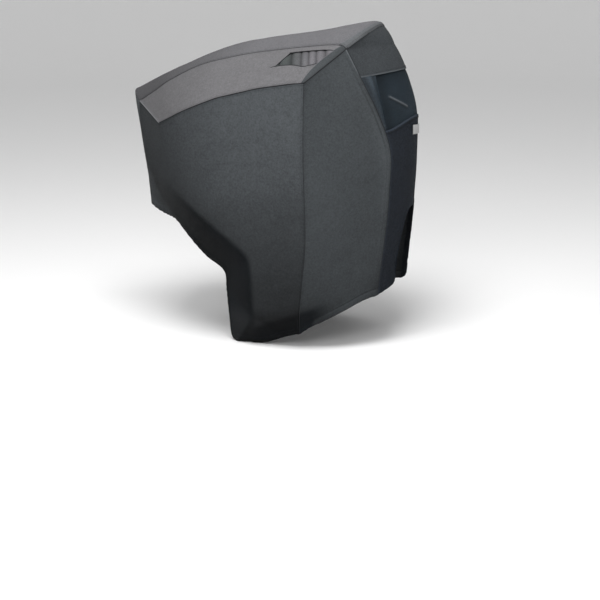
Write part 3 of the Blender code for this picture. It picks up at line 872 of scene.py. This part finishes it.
u = np.unique(np.round(np.concatenate((spread_out(0.86, 0.0080), np.linspace(7 / 8, 1, 26))), 5))
v = spread_out(0.36, 0.0080)
along, down = np.meshgrid(u, v)
row = along * TOP_END
start = ROLL_START - ROLL_EDGE * np.abs(1 - 2 * down) ** 4
swell, band_share = banded(ramp(row, start, TOP_END))
# Coloured pale partly as painted light on the upward face; the tone is painted shade towards the
# front, and the second colour is the band's own.
top_cloth = woven("top_cloth", (0.128, 0.1265, 0.134), mottle=0.08,
                  second=(0.108, 0.113, 0.119))
top = Panel("top_panel_cloth", "top_panel", inset(face(top_face, u, v)),
            dict.fromkeys(("top", "bottom", "left", "right"), felled_seam),
            top_cloth, "charcoal_cloth", (0.86, 0.42), 0.236,
            relief=swell - BAND_GROOVE * bell(row, start, 0.07),
            tone=0.52 + 0.48 * ramp(row, 1.4, 4.6), patch=band_share)

# ---------------------------------------------------------------------------------------------
# Front panel. A small plain panel of the side's cloth closes the cover at the front, sewn under
# the top and hemmed below. It is made as its port half and mirrored.

FRONT_RISE = 0.006


def front_face(u, v):
    """Half of the front panel, at u from the centre line to its port seam: the wall's bow, hung
    from the top's front edge to the hem at v down it."""
    spread = u ** (BOW_POWER / 2)
    edge = top_point(np.zeros_like(u), -u)
    hem_drop = SIDE_FRONT["hem_drop"][0] - FRONT_RISE * (1 - u ** 2)
    return hang(SIDE_FRONT["top_round"][0] * spread, -edge[..., 2], edge,
                SIDE_FRONT["hem_round"][0] * spread, hem_drop, v)


def whole(half, centre_first):
    """A grid that spans the centre line, from its port half."""
    other = mirrored(half)
    if centre_first:
        return np.concatenate((other[:, :-1], half), axis=1)
    return np.concatenate((half, other[:, 1:]), axis=1)


u = 1 - spread_out(0.13, 0.0080, (True, False))[::-1]
v = spread_out(0.34, 0.0080)
front = Panel("front_panel_cloth", "front_panel",
              inset(whole(face(front_face, u, v), True), sides="tlr"),
              {"top": under_seam, "left": under_seam, "right": under_seam,
               "bottom": folded_hem},
              side_cloth, "charcoal_cloth", (0.26, 0.36), 0.073)

# ---------------------------------------------------------------------------------------------
# Flap. The rear upper panel hangs from the top over the vent. Its polyester is coloured darker
# than the sides as painted shade of the rear, which faces away from the light. Its free edge is
# turned under and stitched, and a painted highlight shows the fold as a pale line.

CORNER_FLAP, FLAP_RISE = 0.099, 0.012
HEM_HIGHLIGHT, HEM_HIGHLIGHT_WIDTH = 2.3, 0.0030


def rear_drop(around, drop, rise):
    """The drop of a rear seam that starts at the corner and rises to the centre line."""
    return drop - rise * np.sin((around - 2) * math.pi / 2) ** 2


def rear_upper_face(u, v):
    """Half of the flap over the vent, from its port seam to the centre line."""
    edge = top_point(np.full_like(u, TOP_END), u - 1)
    return hang(2 + u, -edge[..., 2], edge, 2 + u, rear_drop(2 + u, CORNER_FLAP, FLAP_RISE), v)


flap_edge = sewn_edge(0.0006, 0.0105, ((0.0009, 0, 0.0014),), (0.0003, 0.021, 0.016))
u = spread_out(0.21, 0.0070, (True, False))
v = spread_out(0.13, 0.0055)
upper_points = whole(face(rear_upper_face, u, v), False)
to_hem = run_along(upper_points, 0)[-1] - run_along(upper_points, 0)
# Darker than the side's cloth as painted shade of the rear; the tone adds a painted highlight along
# the hem's fold.
flap_cloth = woven("flap_cloth", (0.042, 0.0465, 0.0505))
rear_upper = Panel("rear_upper_cloth", "rear_upper_panel", inset(upper_points, sides="tlr"),
                   {"top": under_seam, "left": under_seam, "right": under_seam,
                    "bottom": flap_edge},
                   flap_cloth, "charcoal_cloth", (0.42, 0.15), 0.050,
                   tone=1 + HEM_HIGHLIGHT * bell(to_hem, 0, HEM_HIGHLIGHT_WIDTH))

# ---------------------------------------------------------------------------------------------
# Gussets. A narrow strip of cloth, coloured dark as painted shade of the rear, is sewn in at
# each side of the vent, between the flap and the lower panel. It bends in along its length, with
# a painted highlight on the bend and painted shade beside the mesh.

CORNER_VENT, VENT_RISE = 0.256, 0.035
GUSSET_ROUND = (2.31, 2.08)
GUSSET_FOLD, GUSSET_HOLLOW = 0.0030, 0.0022


def rear_strip(around, v, over=0.0):
    """The wall between the flap's hem and the seam under the vent, run on by the given drop."""
    return wall(around, blend(rear_drop(around, CORNER_FLAP, FLAP_RISE) - over,
                              rear_drop(around, CORNER_VENT, VENT_RISE) + over, v))


def gusset_face(along, down):
    """The wall beside the vent, at a share along from the corner to the vent's slanting side."""
    return rear_strip(blend(2.0, blend(*GUSSET_ROUND, down), along), down)


u = np.linspace(0.0, 1.0, 26)
v = spread_out(0.16, 0.0060)
along, down = np.meshgrid(u, v)
# Painted light and shade: the navy second colour towards the mesh, a lighter spot on the bend and a
# darker one near the corner.
to_vent = ramp(along, 0.30, 0.90) * np.clip(0.45 + 1.3 * down, 0, 1)
gusset_light_and_shade = (1 + 0.45 * bell(along, 0.55, 0.13) * bell(down, 0.10, 0.16)
               - 0.30 * bell(along, 0.20, 0.12) * bell(down, 0.15, 0.30))
gusset_cloth = woven("gusset_cloth", (0.034, 0.042, 0.050),
                     second=(0.0165, 0.0245, 0.0325))
panel_pair("rear_gusset", gusset_face, u, v,
           {"left": under_seam, "right": under_seam, "bottom": under_seam},
           gusset_cloth, "charcoal_cloth", (0.06, 0.17), 0.0060, patch=to_vent,
           relief=(GUSSET_FOLD * bell(along, 0.62, 0.13)
                   - GUSSET_HOLLOW * bell(along, 0.88, 0.09)),
           tone=gusset_light_and_shade, slack_depth=0.0008)

# ---------------------------------------------------------------------------------------------
# Rear vent. A wide sheet of knitted mesh, coloured dark navy as painted shade of the rear, is
# sewn in under the flap and between the gussets, a little sunk. One short ridge stands on it
# where the mesh is nipped. Painted shadow darkens it under the flap and beside the gussets, and a
# painted highlight runs along the ridge.

RIDGE_START, RIDGE_END = np.array((-0.100, -0.161)), np.array((-0.048, -0.192))
RIDGE_HEIGHT, RIDGE_SIDES = 0.0034, 0.0010


def vent_face(along, down):
    """Half of the wall under the flap, at a share along from beneath the gusset to the centre
    line, run on above and below under its neighbours."""
    under_gusset = blend(*GUSSET_ROUND, down) - 0.05
    return rear_strip(blend(under_gusset, 3.0, along), down, over=0.006)


u = np.linspace(0.0, 1.0, 50)
v = np.linspace(0.0, 1.0, 60)
vent_points = whole(face(vent_face, u, v), False)
place = vent_points[..., 1:] - RIDGE_START
reach = RIDGE_END - RIDGE_START
lead = np.clip((place @ reach) / (reach @ reach), 0, 1)
off = np.linalg.norm(place - lead[..., None] * reach, axis=-1)
ridge = RIDGE_HEIGHT * bell(off, 0, 0.0042) - RIDGE_SIDES * bell(off, 0.010, 0.006)
from_flap = v[:, None]
from_gusset = np.concatenate((u, u[::-1][1:])) * 0.105
deep = 0.0020 + 0.0016 * bell(from_flap, 0, 0.12) + 0.0014 * bell(from_gusset, 0, 0.020)
# Painted shade: the mesh's dark navy, darker still under the flap and beside the gussets; the lighter
# second colour is a painted highlight along the ridge.
vent_cloth = mesh_cloth("vent_cloth", (0.0175, 0.0272, 0.0365), (0.150, 0.165, 0.180))
Panel("rear_vent_cloth", "rear_vent_mesh", vent_points, {}, vent_cloth, "vent_mesh",
      (0.31, 0.19), 0.050, relief=ridge - deep, slack_depth=0.0005, thickness=MESH_THICKNESS,
      tone=(1 - 0.36 * bell(from_flap, 0, 0.22)) * (1 - 0.35 * bell(from_gusset, 0.012, 0.016)),
      patch=0.78 * bell(off, 0, 0.0032) + 0.035 * bell(off, 0, 0.022) + 0.012 * from_flap)

# ---------------------------------------------------------------------------------------------
# Rear lower panel. Cloth coloured near-black, as painted shade of the rear, falls from a bound
# edge under the vent to the hem, and is cut away in an arch for the motor's leg. Painted
# highlights make the binding and the side seams show paler than the cloth, and painted shade
# darkens it towards the hem.

REAR_LOWER = table(
    "top_round hem_round hem_drop",
    (2.000, 2.000, 0.763),
    (2.120, 2.250, 0.752),
    (2.240, 2.500, 0.732),
    (2.360, 2.480, 0.681),
    (2.480, 2.505, 0.626),
    (2.600, 2.568, 0.576),
    (2.720, 2.670, 0.532),
    (2.860, 2.820, 0.507),
    (3.000, 3.000, 0.500),
)


def rear_lower_face(u, v):
    """Half of the lower panel, at u from its port seam to the centre line: the ribs of its
    table, hung from the seam under the vent to the hem at v down them."""
    rib = u * (len(REAR_LOWER["top_round"]) - 1)
    top_round, hem_round, hem_drop = (column(REAR_LOWER, name, rib) for name in REAR_LOWER)
    top_drop = rear_drop(top_round, CORNER_VENT, VENT_RISE)
    return hang(top_round, top_drop, wall(top_round, top_drop), hem_round, hem_drop, v)


binding = sewn_edge(0.0015, 0.0105, ((0.0012, 0, 0.0014),), (0.0004, 0.014, 0.018))
BINDING_HIGHLIGHT, SEAM_HIGHLIGHT = 6.0, 0.9

u = spread_out(0.20, 0.0060, (True, False))
v = spread_out(0.50, 0.0065)
lower_points = whole(face(rear_lower_face, u, v), False)
from_top, from_port = run_along(lower_points, 0), run_along(lower_points, 1)
from_side = np.minimum(from_port, from_port[:, -1:] - from_port)
# Painted shade: near-black for the rear, darker towards the foot; the tone adds painted highlights on
# the binding and along the side seams.
rear_cloth = woven("rear_cloth", (0.0155, 0.0192, 0.0258), foot=0.80, mottle=0.20)
rear_lower = Panel("rear_lower_cloth", "rear_lower_panel", inset(lower_points, sides="tlr"),
                   {"top": binding, "left": under_seam, "right": under_seam,
                    "bottom": folded_hem},
                   rear_cloth, "charcoal_cloth", (0.30, 0.54), 0.112,
                   tone=(1 + BINDING_HIGHLIGHT * bell(from_top, 0, 0.0036)
                         + SEAM_HIGHLIGHT * bell(from_side, 0, 0.007)))

# ---------------------------------------------------------------------------------------------
# Label. A small blank tag of white woven tape is sewn to the lower rear panel by its two ends,
# tilted a little. Its port edge curls up off the cloth.

LABEL_SIZE, LABEL_CORNER, LABEL_TILT = (0.075, 0.028), (-0.034, -0.250), 0.06
LABEL_STANDS_OFF, LABEL_CURL, LABEL_THICKNESS = 0.0030, 0.0022, 0.0007

y = LABEL_CORNER[0] + np.linspace(0.0, LABEL_SIZE[0], 61)
down = np.linspace(0.0, LABEL_SIZE[1], 25)[:, None]
z = LABEL_CORNER[1] - down - LABEL_TILT * (y - y[0])
corner_half = through(-z, PLAN["drop"], PLAN["corner_half"])
label_points = wall(3 - np.abs(y) / corner_half, -z)
label_points[..., 1] = np.broadcast_to(y, z.shape)
curl = LABEL_CURL * ramp(y, y[0] + 0.012, y[0]) ** 2 * np.ones_like(z)
label_cloth = woven("label_cloth", (0.88, 0.88, 0.89), mottle=0.02, thread=0.0007)
label = Panel("label_cloth", "label", label_points, {}, label_cloth, "label_cloth",
              LABEL_SIZE, None, relief=LABEL_STANDS_OFF + curl, slack_depth=0.0002,
              thickness=LABEL_THICKNESS)

# ---------------------------------------------------------------------------------------------
# Seams. A near-black cord of seam allowance fills each join between panels and edges the
# windows; its darkness is partly painted shadow of the seams' grooves. A light piping is sewn in
# along the shoulders' front edges, and its paleness is a painted highlight on those edges.


def length_along(line):
    """The length along a line from its start to each of its points."""
    steps = np.linalg.norm(np.diff(line[:, :3], axis=0), axis=-1)
    return np.concatenate(([0.0], np.cumsum(steps)))


def resample(line, places):
    """The columns of a line, read at the given shares of its length."""
    run = length_along(line)
    return np.stack([np.interp(places * run[-1], run, each) for each in line.T], axis=-1)


def tube(line, facing, radius, sides=8):
    """A round cord: a ring of points about each point of a line, joined up and closed."""
    ahead = unit(np.gradient(line, axis=0))
    across_it = unit(np.cross(ahead, facing))
    up = np.cross(across_it, ahead)
    angle = np.linspace(0, 2 * math.pi, sides, endpoint=False)[None, :, None]
    ring = line[:, None] + radius * (np.cos(angle) * across_it[:, None] + np.sin(angle) * up[:, None])
    ends = np.stack((np.arange(sides)[::-1], np.arange(sides) + (len(line) - 1) * sides))
    return ring.reshape(-1, 3), ring_cells(len(line), sides).tolist() + ends.tolist()


def joined(name, shapes, finish):
    """One piece from several lists of points and faces."""
    points, faces, start = [], [], 0
    for own_points, own_faces in shapes:
        points.append(own_points)
        faces += [[corner + start for corner in each] for each in own_faces]
        start += len(own_points)
    piece = smooth_piece(name, np.concatenate(points), faces, finish)
    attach(piece, "root")


def join_line(first, second, depth):
    """The line midway between two sewn edges, sunk by the depth, and its facing."""
    places = np.linspace(0, 1, 160)
    a, b = (resample(np.concatenate(edge, axis=-1), places) for edge in (first, second))
    facing = unit(a[:, 3:] + b[:, 3:])
    return (a[:, :3] + b[:, :3]) / 2 - facing * depth, facing


def turned(line, flip=True):
    """A line of points and facings, from its other end if flip is true."""
    return [part[::-1] for part in line] if flip else line


def cord(first, second, depth, radius):
    """A cord along the join of two sewn edges, sunk by the depth."""
    return tube(*join_line(first, second, depth), radius)


sides = ((False, "left", "right", side_front[0], side_rear[0], shoulder[0]),
         (True, "right", "left", side_front[1], side_rear[1], shoulder[1]))
cords, pipings = [], []
for starboard, ahead, aft, s_front, s_rear, s_shoulder in sides:
    low_edge = turned(s_shoulder.line("bottom", 0.0), starboard)
    high_edge = turned(s_shoulder.line("top", 0.0), starboard)
    rear_top = turned(s_rear.line("top", 0.0), starboard)
    side_edge = turned(s_front.line("top", 0.0), starboard)
    corner = np.argmin(np.abs(side_edge[0][:, 0] - low_edge[0][0, 0]))
    front_edge = [part[:corner + 1] for part in side_edge]
    long_edge = [part[corner:] for part in side_edge]
    corner_line = s_rear.line(aft, 0.0)
    cords += [
        cord(low_edge, long_edge, 0.0001, 0.0018),
        cord(high_edge, top.line("top" if starboard else "bottom", 0.0), 0.0008, 0.0015),
        cord(turned(s_shoulder.line(aft, 0.0)), rear_top, -0.0005, 0.0020),
        cord(s_front.line(aft, 0.0), s_rear.line(ahead, 0.0), 0.0009, 0.0011),
        cord(s_front.line(ahead, 0.0), front.line("left" if starboard else "right", 0.0),
             0.0012, 0.0015),
        tube(corner_line[0] - corner_line[1] * 0.0006, corner_line[1], 0.0016)]
    pipings.append(cord(s_shoulder.line(ahead, 0.0), front_edge, -0.0006, 0.0021))
cords += [cord(top.line("right", 0.0), rear_upper.line("top", 0.0), -0.0006, 0.0021),
          cord(top.line("left", 0.0), front.line("top", 0.0), 0.0012, 0.0015)]

foot_row = np.argmin(np.abs(v_shoulder - WINDOW_FOOT))
window_rows = slice(np.argmin(np.abs(v_shoulder - WINDOW_TOP)), foot_row + 1)
front_column, rear_column = (np.argmin(np.abs(u_shoulder - edge)) for edge in window_u)
foot_columns = slice(np.searchsorted(u_shoulder, window_u[0] - 0.022), rear_column + 1)
band_column = np.argmin(np.abs(u_shoulder - window_u[1] - 0.004))
THREAD_LIFT = 0.0001
band_lines = []
for piece, step in zip(shoulder, (1, -1)):
    grid, facing = piece.points[:, ::step], piece.normal[:, ::step]
    across_foot, up_front = (foot_row, foot_columns), (window_rows, front_column)
    cords.append(tube(grid[across_foot], facing[across_foot], 0.0011))
    cords.append(tube(grid[up_front] - 0.0006 * facing[up_front], facing[up_front], 0.0012))
    beside_band = facing[3:-3, band_column]
    band_lines.append((grid[3:-3, band_column] + THREAD_LIFT * beside_band, beside_band))


def thread_finish(name, colour):
    """Twisted sewing thread or cord, faintly uneven."""
    made = Finish(name)
    twist = made.noise(900.0, 2.0)
    made.shader(Base_Color=made.mix(twist, shade(colour, 0.7), shade(colour, 1.35)),
                Roughness=0.55 + (twist - 0.5) * 0.2, Specular_IOR_Level=0.25)
    made.bump(twist, 0.0003, 0.6)
    return made.material


# Painted shadow, partly: the near-black thread of the seam cords and dark stitch rows.
dark_thread = thread_finish("dark_thread", (0.008, 0.009, 0.011))
# Painted highlight: the piping's pale grey.
light_piping = thread_finish("light_piping", (0.125, 0.128, 0.135))
joined("seam_cord", cords, dark_thread)
joined("shoulder_piping", pipings, light_piping)

# ---------------------------------------------------------------------------------------------
# Topstitching. Rows of dark lockstitch run beside the seams and along the hems, and pale rows
# beside the shoulders' front edges and bands and at the head of each rear corner. The dark rows'
# near-black is partly painted shadow of the stitched grooves.

STITCH_PITCH, STITCH_LENGTH, STITCH_RADIUS = 0.0044, 0.0034, 0.0008
BESIDE_SEAM, BESIDE_BINDING, ALONG_HEM = 0.0060, 0.0080, 0.0240
CORNER_HEAD, CORNER_ROW, CORNER_TWIN, HEAD_SHARE = 0.0025, 0.0050, 0.0140, 0.08
LABEL_MARGIN = 0.0020


def part_of(line, low, high):
    """The stretch of a line of points and facings between two shares of it."""
    count = len(line[0])
    return [part[round(low * count):round(high * count)] for part in line]


def stitches(points, facing):
    """Lockstitches along a line: each a short double-ended bead lying on the cloth."""
    line = np.concatenate((points, facing), axis=-1)
    length = length_along(line)[-1]
    count = max(2, int(length / STITCH_PITCH))
    places = (np.arange(count) + 0.5) / count
    half = 0.5 * STITCH_LENGTH / length
    behind, centre, ahead = (resample(line, np.clip(places + reach, 0, 1))
                             for reach in (-half, 0, half))
    behind, middle, ahead = behind[:, :3], centre[:, :3], ahead[:, :3]
    up = unit(centre[:, 3:])
    side = unit(np.cross(ahead - behind, up)) * STITCH_RADIUS
    sunk, raised = up * 0.0004, up * STITCH_RADIUS
    points = np.stack((behind - sunk, middle + side, middle + raised, middle - side,
                       middle - raised, ahead - sunk), axis=1)
    bead = np.array(((0, 2, 1), (0, 3, 2), (0, 4, 3), (0, 1, 4),
                     (5, 1, 2), (5, 2, 3), (5, 3, 4), (5, 4, 1)))
    faces = 6 * np.arange(count)[:, None, None] + bead
    return points.reshape(-1, 3), faces.reshape(-1, 3).tolist()


dark_rows, pale_rows = [], []
for _, ahead, aft, s_front, s_rear, s_shoulder in sides:
    pale_rows.append(s_shoulder.line(ahead, BESIDE_SEAM, THREAD_LIFT))
    pale_rows.append(part_of(s_rear.line(aft, CORNER_HEAD, THREAD_LIFT), 0.0, HEAD_SHARE))
    dark_rows.append(part_of(s_rear.line(aft, CORNER_ROW, THREAD_LIFT), HEAD_SHARE, 1.0))
    for piece, side, inwards in ((s_shoulder, "bottom", BESIDE_SEAM), (s_front, "top", BESIDE_SEAM),
                                 (s_front, aft, BESIDE_SEAM), (s_front, ahead, BESIDE_SEAM),
                                 (s_rear, aft, CORNER_TWIN), (s_front, "bottom", ALONG_HEM),
                                 (s_rear, "bottom", ALONG_HEM)):
        dark_rows.append(piece.line(side, inwards, THREAD_LIFT))
for piece, side, inwards in ((top, "top", BESIDE_SEAM), (top, "bottom", BESIDE_SEAM),
                             (top, "right", BESIDE_SEAM), (rear_upper, "bottom", BESIDE_BINDING),
                             (rear_lower, "top", BESIDE_BINDING), (rear_lower, "bottom", ALONG_HEM),
                             (front, "bottom", ALONG_HEM), (label, "left", LABEL_MARGIN),
                             (label, "right", LABEL_MARGIN)):
    dark_rows.append(piece.line(side, inwards, THREAD_LIFT))
grey_thread = thread_finish("grey_thread", (0.150, 0.155, 0.165))
joined("topstitching", [stitches(*line) for line in dark_rows], dark_thread)
joined("pale_topstitching", [stitches(*line) for line in pale_rows + band_lines], grey_thread)

bpy.context.view_layer.update()
